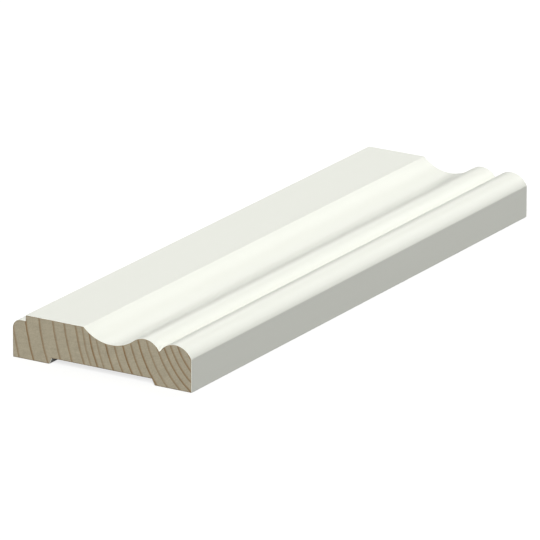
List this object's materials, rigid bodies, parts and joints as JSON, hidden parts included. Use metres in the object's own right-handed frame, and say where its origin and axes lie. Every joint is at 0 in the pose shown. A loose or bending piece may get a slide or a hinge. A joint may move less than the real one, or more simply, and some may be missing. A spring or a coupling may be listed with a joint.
{
  "type": "door casing",
  "caption": "Length of painted pine door casing: stepped and rounded outer edge, flat, cove and bead, quirk and rounded nose, with a relieved back and square-cut ends.",
  "frame": {"origin": "on the plane of the two back feet, under the middle of the piece", "axes": "+X across the width from the outer edge (wall side) to the inner edge (door side), +Y along the length, +Z out of the moulded face"},
  "size_m": [0.095, 0.3, 0.021],
  "materials": {
    "painted_pine": "satin off-white paint on all long faces, bare sawn pine at both ends"
  },
  "bodies": {
    "root": {"casing": "painted_pine"}
  },
  "joints": []
}
